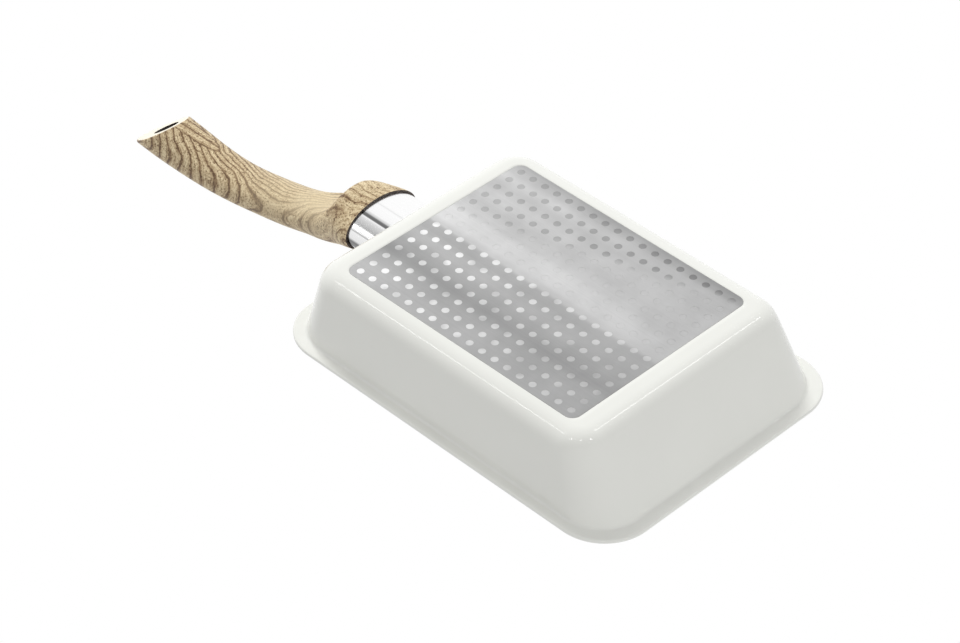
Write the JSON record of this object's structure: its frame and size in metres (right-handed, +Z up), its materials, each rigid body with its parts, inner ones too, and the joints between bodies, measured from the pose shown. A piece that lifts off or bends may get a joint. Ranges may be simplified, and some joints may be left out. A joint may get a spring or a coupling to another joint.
{
  "type": "egg frying pan",
  "caption": "Rectangular rolled-omelette frying pan with a sloped turning wall, flat turned-out lip, perforated induction base, oval polished ferrule and arched wood-print handle.",
  "frame": {"origin": "centre of the base's underside, on the surface that the pan stands on", "axes": "+Z up through the open top, -X along the handle, +X towards the sloped turning wall, Y across the pan"},
  "size_m": [0.3753, 0.1484, 0.0654],
  "materials": {
    "enamel": "glossy warm white ceramic enamel",
    "plate_steel": "brushed along the pan",
    "stud_aluminium": "bare, faced flush",
    "ferrule_steel": "mirror polished",
    "handle_print": "satin wood-grain print on phenolic",
    "fastener_steel": "plain zinc"
  },
  "bodies": {
    "root": {"pan_body": "enamel", "induction_plate": "plate_steel", "plate_studs": "stud_aluminium", "ferrule": "ferrule_steel", "handle_grip": "handle_print", "handle_screw": "fastener_steel", "spring_washer": "fastener_steel", "flat_washer": "fastener_steel"}
  },
  "joints": []
}
